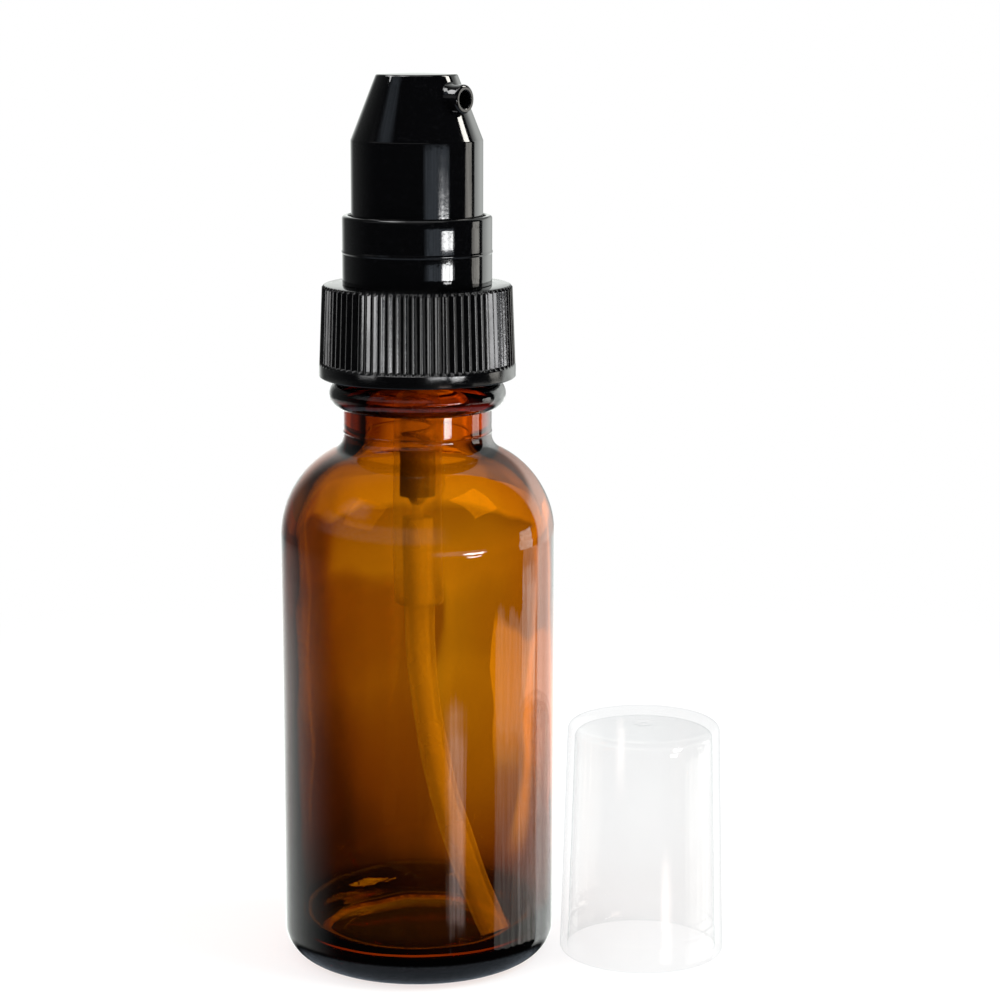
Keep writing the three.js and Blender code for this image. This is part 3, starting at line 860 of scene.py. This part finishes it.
def valve_cage():
    """The fluted cage over the ball, with a pocket below and a port through its roof."""
    flutes, depth, port, pocket = 12, 0.28, 0.75, BALL_RADIUS + 0.15
    roof = CAGE_BOTTOM + 2.15
    profile = softened(
        [
            (pocket, CAGE_BOTTOM),
            (CAGE_RADIUS, CAGE_BOTTOM, 0.1),
            (CAGE_RADIUS, CAGE_TOP, 0.1),
            (port, CAGE_TOP),
            (port, roof),
            (pocket, roof, 0.1),
        ]
    )
    low, high = CAGE_BOTTOM + 0.5, CAGE_TOP - 0.45

    def radius_at(row, radius, height, angle):
        if radius < CAGE_RADIUS - 0.2:
            return radius
        groove = max(0, math.cos(angle * flutes)) ** 0.6
        share = smooth(low, low + 0.2, height) * smooth(high, high - 0.2, height)
        return radius - depth * groove * share

    vertices, faces = revolve(dense(profile, 0.18), flutes * 12, radius_at=radius_at)
    return finished("cage_ribbed", vertices, faces, "pump_body", "valve_cage", GLOSS)


def inlet_ball():
    steps = 20
    centre = (BALL_BOTTOM + BALL_TOP) / 2
    quarter = math.pi / 2
    profile = arc((0, centre), BALL_RADIUS, -quarter, quarter, steps)
    profile[0], profile[-1] = (0, BALL_BOTTOM), (0, BALL_TOP)
    vertices, faces = revolve(profile, 40)
    return finished("valve_ball", vertices, faces, "inlet_ball", "inlet_ball", STEEL)


def spring():
    """Round wire with a closed coil at each end, over the height that the frame gives."""
    wire = 0.225
    low, high = SPRING_BOTTOM + wire, SPRING_TOP - wire
    turns, closed = 7.5, 0.9
    points = []
    steps = 300
    closed_pitch = 2 * wire + 0.02
    free = high - low - 2 * closed * closed_pitch
    for i in range(steps + 1):
        turn = turns * i / steps
        ends = min(turn, closed) + max(0, turn - turns + closed)
        middle_turns = turn - ends
        height = low + ends * closed_pitch + middle_turns * free / (turns - 2 * closed)
        angle = TAU * turn
        radius = SPRING_RADIUS - wire
        points.append(Vector((radius * math.cos(angle), radius * math.sin(angle), height)))
    vertices, faces = sweep(points, 10, [wire])
    piece = finished("spring_coil", vertices, faces, "pump_body", "spring", STEEL, 60)
    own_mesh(piece)
    return piece


def dip_tube():
    """The tube: straight below its socket, then curved out to the edge of the base."""
    steps = 40
    out = Vector((math.cos(TUBE_AZIMUTH), math.sin(TUBE_AZIMUTH), 0))
    up = Vector((0, 0, 1))
    path = [up * (TUBE_TOP + (TUBE_BEND_START - TUBE_TOP) * k / 4) for k in range(4)]
    for k in range(steps + 1):
        t = k / steps
        height = TUBE_BEND_START + (TUBE_END - TUBE_BEND_START) * t
        path.append(out * (TUBE_REACH * t * t) + up * height)
    vertices, faces = sweep(path, 40, [TUBE_RADIUS, TUBE_BORE])
    return finished(
        "tube_natural", vertices, faces, "pump_body", "dip_tube", TUBING, sharp=50
    )


def small_pump_parts():
    """The stem, its core, piston, retainer and gasket: turned parts with softened edges."""
    bore = 1.1
    stem = softened(
        [
            (bore, STEM_BOTTOM, 0.08),
            (STEM_RADIUS, STEM_BOTTOM, 0.15),
            (STEM_RADIUS, STEM_TOP, 0.2),
            (bore, STEM_TOP, 0.1),
        ]
    )
    head_low = CORE_TOP - 4.3
    head_high = head_low + 1.3
    pin, plug = 1.3, 1.02
    core = softened(
        [
            (0, CORE_BOTTOM),
            (pin, CORE_BOTTOM, 0.3),
            (pin, head_low, 0.1),
            (CORE_RADIUS, head_low, 0.1),
            (CORE_RADIUS, head_high, 0.3),
            (plug, head_high, 0.1),
            (plug, CORE_TOP, 0.2),
            (0, CORE_TOP),
        ]
    )
    waist = PISTON_RADIUS - 0.3
    piston = softened(
        [
            (SLIDE_BORE, PISTON_BOTTOM, 0.08),
            (PISTON_RADIUS, PISTON_BOTTOM, 0.1),
            (PISTON_RADIUS, PISTON_BOTTOM + 0.5, 0.1),
            (waist, PISTON_BOTTOM + 0.8, 0.1),
            (waist, PISTON_TOP - 0.8, 0.1),
            (PISTON_RADIUS, PISTON_TOP - 0.5, 0.1),
            (PISTON_RADIUS, PISTON_TOP, 0.1),
            (SLIDE_BORE, PISTON_TOP, 0.08),
        ]
    )
    skirt, guide = 3.72, 3.0
    retainer = softened(
        [
            (SLIDE_BORE, RETAINER_BOTTOM, 0.1),
            (skirt, RETAINER_BOTTOM, 0.15),
            (skirt, FLANGE_TOP + 0.05, 0.05),
            (RETAINER_RADIUS, FLANGE_TOP + 0.05, 0.1),
            (RETAINER_RADIUS, COLLAR_TOP, 0.1),
            (guide, COLLAR_TOP, 0.1),
            (guide, RETAINER_TOP, 0.2),
            (SLIDE_BORE, RETAINER_TOP, 0.1),
        ]
    )
    liner_bore = 6.3
    gasket = softened(
        [
            (liner_bore, GASKET_BOTTOM, 0.1),
            (GASKET_RADIUS, GASKET_BOTTOM, 0.1),
            (GASKET_RADIUS, GASKET_TOP, 0.1),
            (liner_bore, GASKET_TOP, 0.1),
        ]
    )
    rows = [
        ("stem_tube", stem, "stem", "upper_stem", "natural_plastic", NATURAL),
        ("core_plug", core, "stem", "plunger_core", "natural_plastic", NATURAL),
        ("piston_seal", piston, "piston", "piston", "natural_plastic", NATURAL),
        ("retainer_bush", retainer, "pump_body", "stem_retainer", "natural_plastic", NATURAL),
        ("gasket_liner", gasket, "pump_body", "gasket", "liner_white", LINER),
    ]
    for name, profile, body, node, slot, look in rows:
        vertices, faces = revolve(dense(profile, 1.5), 80)
        finished(name, vertices, faces, body, node, look)


# ---------------------------------------------------------------- over cap


def over_cap():
    """The clear cap: a tapered wall with a snap ring inside its mouth and a gate mark in its top."""
    top = 9.14
    foot = span("over_cap")[1]
    wall, plate, edge = 0.9, 1.1, 0.9
    snap, snap_radius = foot + 3.25, 8.8
    step = foot + 5.0
    dish, nub = 1.15, 0.4
    dish_floor, nub_top = CAP_HEIGHT - 0.2, CAP_HEIGHT - 0.03

    def outside(height):
        return CAP_RADIUS - (CAP_RADIUS - top) * (height - foot) / (CAP_HEIGHT - foot)

    def inside(height):
        return outside(height) - wall

    ceiling = CAP_HEIGHT - plate
    profile = softened(
        [
            (0, ceiling),
            (inside(ceiling), ceiling, 0.7),
            (inside(step), step, 0.1),
            (inside(step) - 0.08, step - 0.12, 0.1),
            (inside(snap + 0.5), snap + 0.5, 0.2),
            (snap_radius, snap + 0.1, 0.1),
            (snap_radius, snap - 0.1, 0.1),
            (inside(snap - 0.5), snap - 0.5, 0.2),
            (inside(foot), foot, 0.15),
            (CAP_RADIUS, foot, 0.25),
            (outside(CAP_HEIGHT), CAP_HEIGHT, edge),
            (dish, CAP_HEIGHT, 0.1),
            (dish - 0.15, dish_floor, 0.1),
            (nub + 0.05, dish_floor, 0.05),
            (nub, nub_top, 0.1),
            (0, nub_top),
        ],
        steps=8,
    )
    vertices, faces = revolve(dense(profile, 1.5), 192, centre=CAP_AXIS)
    return finished("cap_clear", vertices, faces, "over_cap", "over_cap", CLEAR)


# ---------------------------------------------------------------- stage, light and camera


# Painted shade and light on the table as seen through the bottle: its brightness by the distance in
# metres from the bottle's axis.
PAINTED_TABLE_SHADE_AND_LIGHT = [
    (0.016, 0.015),
    (0.026, 0.06),
    (0.042, 0.36),
    (0.065, 0.56),
    (0.101, 0.75),
    (0.13, 0.88),
    (0.165, 0.8),
    (0.195, 0.85),
    (0.225, 1.05),
    (0.3, 0.8),
    (0.33, 0.75),
    (0.385, 1.6),
]


def painted_table_shade_and_light(g):
    """Painted shadow and light on the table as seen through the bottle, by its place behind the
    bottle's axis.

    It is painted dark close to the bottle, as the bottle's shadow, brighter further back, and darker
    to the left. A painted brighter patch lies behind on the right, and a painted brighter stretch
    further right still. right and distance are in metres, and side is the share of the distance that
    lies to the right.
    """
    place = g.add("NewGeometry")["Position"]
    away = g.add("VectorMath", {0: place, 1: (AXIS[0], AXIS[1], 0)}, operation="SUBTRACT")["Vector"]
    right = g.camera_right(away)
    distance = g.add("VectorMath", {0: away}, operation="LENGTH")["Value"]
    side = g.maths("DIVIDE", right, distance)
    # Painted shadow: the table is darker to the left and close behind the bottle.
    left_shade = g.ramp(right, -0.001, 0.0025, 0.57, 1.0)
    near = g.ramp(distance, 0.2, 0.23, 1.0, 0.45)
    shade = g.one_minus(g.times(g.one_minus(left_shade), near))
    left_edge = g.ramp(side, -0.33, -0.10, 0.3, 1.0)
    left_end = g.ramp(side, -0.85, -0.6, 0.05, 1.0)
    # Painted light: a brighter stretch far to the right on the table.
    painted_far_right_light = g.times(g.band(side, 0.38, 0.52, 0.12), g.ramp(distance, 0.03, 0.07, 0.0, 1.3))
    # Painted light: a brighter patch behind the bottle on the right.
    patch_slant, patch_strength = 0.068, 0.75
    patch_side = g.maths("SUBTRACT", right, g.times(distance, patch_slant))
    patch_start, patch_end = g.ramp(distance, 0.075, 0.11), g.ramp(distance, 0.172, 0.182, 1.0, 0.0)
    patch = g.times(g.ramp(patch_side, 0.0087, 0.0093), g.times(patch_start, patch_end))
    painted_brightness = g.times(g.curve(distance, PAINTED_TABLE_SHADE_AND_LIGHT), shade, g.times(left_edge, left_end))
    painted_brightness = g.maths("ADD", painted_brightness, g.times(patch, patch_strength))
    return g.maths("ADD", painted_brightness, painted_far_right_light)


def floor():
    """The pale table: white to the camera, matt to the light, and glowing with painted shadow and
    light as seen through the bottle.
    """
    size = 3.0
    mesh = bpy.data.meshes.new("table_top")
    corners = [(-size, -size, 0), (size, -size, 0), (size, size, 0), (-size, size, 0)]
    mesh.from_pydata(corners, [], [(0, 1, 2, 3)])
    made, g, place = material("table_white")
    grain = g.noise(900, 2.0, 0.5, place)
    paper = g.colour(grain, (0.9, 0.9, 0.9, 1), (0.94, 0.94, 0.94, 1))
    matt = g.add("BsdfDiffuse", {"Color": paper})[0]
    white = g.add("Emission", {"Color": (1, 1, 1, 1), "Strength": 1.0})[0]
    away = g.add("VectorMath", {0: place}, operation="LENGTH")["Value"]
    lit = g.mix(g.ramp(away, 0.03, 0.2, 0.7, 1.0), matt, white)
    # Painted shadow and light, seen only through the bottle: an emission, amber where the table is
    # painted dark and white where bright.
    painted_brightness = painted_table_shade_and_light(g)
    tint = g.colour(g.ramp(painted_brightness, 0.15, 0.9), (1, 0.6, 0.35, 1), (1, 1, 1, 1))
    behind = g.add("Emission", {"Color": tint, "Strength": painted_brightness})[0]
    path = g.add("LightPath")
    shown = g.mix(path["Is Camera Ray"], matt, lit)
    g.add("OutputMaterial", {"Surface": g.mix(path["Is Transmission Ray"], shown, behind)})
    mesh.materials.append(made)
    table = placed("table_top", mesh)
    table.visible_glossy = False


# Bright things in the studio that shiny surfaces see: azimuth from and to (degrees to the right of
# the camera), elevation from and to, edge softness of each, colour, strength.
WHITE, CREAM, BLUE, ROSE = (1.0, 1.0, 1.0), (1.0, 0.97, 0.9), (0.75, 0.86, 1.0), (1.0, 0.82, 0.76)
PANELS = [
    (94, 110, -9.5, 4, 1.5, 1.0, CREAM, 3.0),
    (97, 118, -12.3, -9.5, 2, 1.2, CREAM, 0.8),
    (97, 118, -14.8, -12.3, 2, 0.6, CREAM, 2.1),
    (95, 118, -21, -14.8, 2, 0.6, CREAM, 1.25),
    (68, 97, -15.6, -13.1, 2, 0.3, CREAM, 1.0),
    (68, 97, -21, -15.6, 3, 0.6, CREAM, 0.8),
    (14, 56, -6.6, -2.0, 8, 0.5, BLUE, 0.9),
    (39, 56, -6.7, -4.9, 3, 0.3, WHITE, 30.0),
    (41, 54, -9.4, -8.0, 3, 0.3, WHITE, 14.0),
    (25, 39, -19.6, -15.4, 5, 1.2, ROSE, 2.5),
    (-80, -52, 30, 46, 16, 8, BLUE, 0.5),
    (-90, 20, 8, 26, 20, 6, WHITE, 0.3),
    (-181, 181, -91, -34, 1, 10, BLUE, 0.4),
]


def walls(g, azimuth, elevation):
    """Pale walls: a window wall behind on the right and a dimmer one behind on the left.

    The right wall takes on the left one's brightness where they meet, straight behind the bottle.
    """
    back_wall = 1.2
    high = g.times(g.ramp(elevation, -11, -9), g.ramp(elevation, 12, 20, 1.0, 0.35))
    window = g.times(high, g.ramp(azimuth, 130, 175, 2.2, 0.45))
    low = g.times(g.ramp(elevation, -11, -9, 1.0, 0.0), g.ramp(azimuth, 122, 134, 2.4, 1.6))
    right = g.times(g.maths("ADD", window, low), g.ramp(azimuth, 117, 121))
    leftward = g.times(azimuth, -1.0)
    skirting = g.ramp(elevation, -15, -10, 0.9, 0.135)
    left = g.times(g.ramp(leftward, 70, 150), skirting)
    left = g.maths("ADD", left, g.ramp(leftward, 140, 175, 0.0, back_wall))
    meeting = g.ramp(azimuth, 170, 178)
    right = g.times(right, g.one_minus(meeting))
    right = g.maths("ADD", right, g.times(meeting, g.maths("ADD", skirting, back_wall)))
    return g.times(g.maths("ADD", right, left), g.ramp(elevation, -30, -22))


def behind_glass(g, direction, elevation):
    """How bright the studio looks through the bottle.

    It is dimmer above, to the left and in a narrow band on the right.
    """
    side = g.camera_right(direction)
    above = g.ramp(elevation, 4, 16, 1.0, 0.15)
    left = g.times(g.ramp(side, -0.5, -0.12, 0.25, 1.0), g.ramp(side, -0.85, -0.6, 0.05, 1.0))
    post_depth = 0.35
    post = g.one_minus(g.times(g.band(side, 0.10, 0.16, 0.04), post_depth))
    return g.times(above, left, post)


def studio():
    """The world: white to the camera, panels and walls to reflections, dimmer through the bottle."""
    world = bpy.data.worlds.new("studio")
    bpy.context.scene.world = world
    g = Graph(world)
    direction = g.add("TexCoord")["Generated"]
    parts = g.add("SeparateXYZ", {0: direction})
    turned = g.maths("ARCTAN2", parts["X"], g.times(parts["Y"], -1.0))
    azimuth = g.maths("DEGREES", turned)
    elevation = g.maths("DEGREES", g.maths("ARCSINE", parts["Z"]))
    waver = g.noise(14, 2.0, 0.5, direction)
    azimuth_seen = g.maths("ADD", azimuth, g.ramp(waver, 0.2, 0.8, -2.0, 2.0))
    bob = g.noise(11, 2.0, 0.5, direction)
    elevation_seen = g.maths("ADD", elevation, g.ramp(bob, 0.2, 0.8, -0.3, 0.3))
    clutter = g.ramp(g.noise(24, 4.0, 0.65, direction), 0.35, 0.62, 0.65, 1.25)
    total = g.add("Background", {"Color": (0.6, 0.7, 0.8, 1), "Strength": 0.02})[0]
    for left, right, low, high, soft_across, soft_up, colour, strength in PANELS:
        across = g.band(azimuth_seen, left, right, soft_across)
        up = g.band(elevation_seen, low, high, soft_up)
        power = g.times(g.times(across, up), g.times(clutter, strength))
        panel = g.add("Background", {"Color": (*colour, 1), "Strength": power})[0]
        total = g.add("AddShader", {0: total, 1: panel})[0]
    shine = walls(g, azimuth, elevation)
    backdrop = g.add("Background", {"Color": (0.97, 1.0, 0.97, 1), "Strength": shine})[0]
    reflected = g.add("AddShader", {0: total, 1: backdrop})[0]
    white = g.add("Background", {"Color": (1, 1, 1, 1), "Strength": 1.0})[0]
    dimmed = behind_glass(g, direction, elevation)
    through = g.add("Background", {"Color": (1, 1, 1, 1), "Strength": dimmed})[0]
    path = g.add("LightPath")
    mirrored = g.times(path["Is Glossy Ray"], path["Is Reflection Ray"])
    unlit = g.mix(path["Is Transmission Ray"], white, through)
    g.add("OutputWorld", {"Surface": g.mix(mirrored, unlit, reflected)})
    world.cycles.sampling_method = "NONE"


# Small softboxes that only the black parts show: azimuth, elevation, width and height in degrees,
# strength, colour, and the pieces they show in.
SOFTBOXES = [
    ("nozzle_light", -99, 43, 26, 18, 8.0, WHITE, ("head_shell",)),
    ("cone_light", 103, 32, 11, 28, 14.0, CREAM, ("head_shell",)),
    ("edge_light", -68, 62, 24, 22, 6.0, WHITE, ("head_shell", "ring_shell")),
    ("top_light", 0, 74, 60, 24, 1.4, WHITE, ("head_shell", "ring_shell", "collar_shell")),
    ("rib_light", 23, -3.9, 20, 6.5, 9.0, WHITE, ("collar_shell",)),
    ("rib_left_light", -60, -3.9, 20, 6.5, 4.0, WHITE, ("collar_shell",)),
    ("rib_top_light", -15, 40, 80, 26, 2.5, WHITE, ("collar_shell",)),
]


def area_lamp(name, place, towards, pieces):
    """A new area lamp, facing away from towards. With pieces named, it lights nothing else."""
    lamp = placed(name, bpy.data.lights.new(name, "AREA"))
    lamp.location = place
    lamp.rotation_euler = (-towards).to_track_quat("-Z", "Y").to_euler()
    if pieces:
        lit = bpy.data.collections.new(name)
        for piece in pieces:
            lit.objects.link(bpy.data.objects[piece])
        lamp.light_linking.receiver_collection = lit
    return lamp


def softboxes():
    """The softboxes, all at one distance from the top of the neck ring."""
    distance = 1.0
    centre = Vector((*AXIS, RING_TOP * MM))
    for name, azimuth, elevation, wide, tall, strength, colour, pieces in SOFTBOXES:
        turn, rise = math.radians(azimuth), math.radians(elevation)
        level = math.cos(rise)
        towards = Vector((math.sin(turn) * level, -math.cos(turn) * level, math.sin(rise)))
        lamp = area_lamp(name, centre + distance * towards, towards, pieces)
        data = lamp.data
        data.shape = "RECTANGLE"
        data.size = 2 * distance * math.tan(math.radians(wide) / 2)
        data.size_y = 2 * distance * math.tan(math.radians(tall) / 2)
        data.color = colour
        data.energy = 4 * strength * data.size * data.size_y
        lamp.visible_camera = False
        lamp.visible_diffuse = False
        lamp.visible_transmission = False


def camera():
    """A 97 mm lens just above the pump's height, looking down a little and to the bottle's right.

    Distance in front of the bottle's axis and height are in metres, film and lens in millimetres.
    """
    distance, height = 0.31589, 0.11495
    pitch, yaw, roll = math.radians(10.645), 0.0309, math.radians(0.15)
    film, lens = 36, 97.29
    data = bpy.data.cameras.new("camera")
    data.sensor_width = film
    data.lens = lens
    data.clip_start = 0.01
    made = placed("camera", data)
    made.location = (AXIS[0], AXIS[1] - distance, height)
    aim = Euler((math.pi / 2 - pitch, 0, -yaw), "XYZ").to_matrix()
    made.rotation_euler = (aim @ Euler((0, 0, roll)).to_matrix()).to_euler()
    bpy.context.scene.camera = made


def lamps():
    """Soft lamps for the matt surfaces. The last one lights only the plastic inside the glass."""
    for name, place, size, power, pieces in (
        ("key", (0.45, -0.15, 0.55), 0.35, 4.0, ()),
        ("fill", (-0.5, -0.3, 0.5), 0.4, 2.0, ()),
        ("tubing_light", (0.5, -0.45, 0.2), 0.3, 12.0, ("tube_natural", "housing_shell")),
    ):
        lamp = area_lamp(name, place, Vector(place), pieces)
        lamp.data.size = size
        lamp.data.energy = power
        lamp.visible_glossy = False


def look():
    """Colours as they are, enough bounces for the glass, and denoising."""
    scene = bpy.context.scene
    scene.view_settings.view_transform = "Standard"
    scene.cycles.use_denoising = True
    scene.cycles.max_bounces = 24
    scene.cycles.transmission_bounces = 20
    scene.cycles.transparent_max_bounces = 24
    scene.cycles.caustics_reflective = False


bottle()
collar()
neck_ring()
actuator()
housing()
valve_cage()
inlet_ball()
spring()
dip_tube()
small_pump_parts()
over_cap()
floor()
studio()
softboxes()
camera()
lamps()
look()
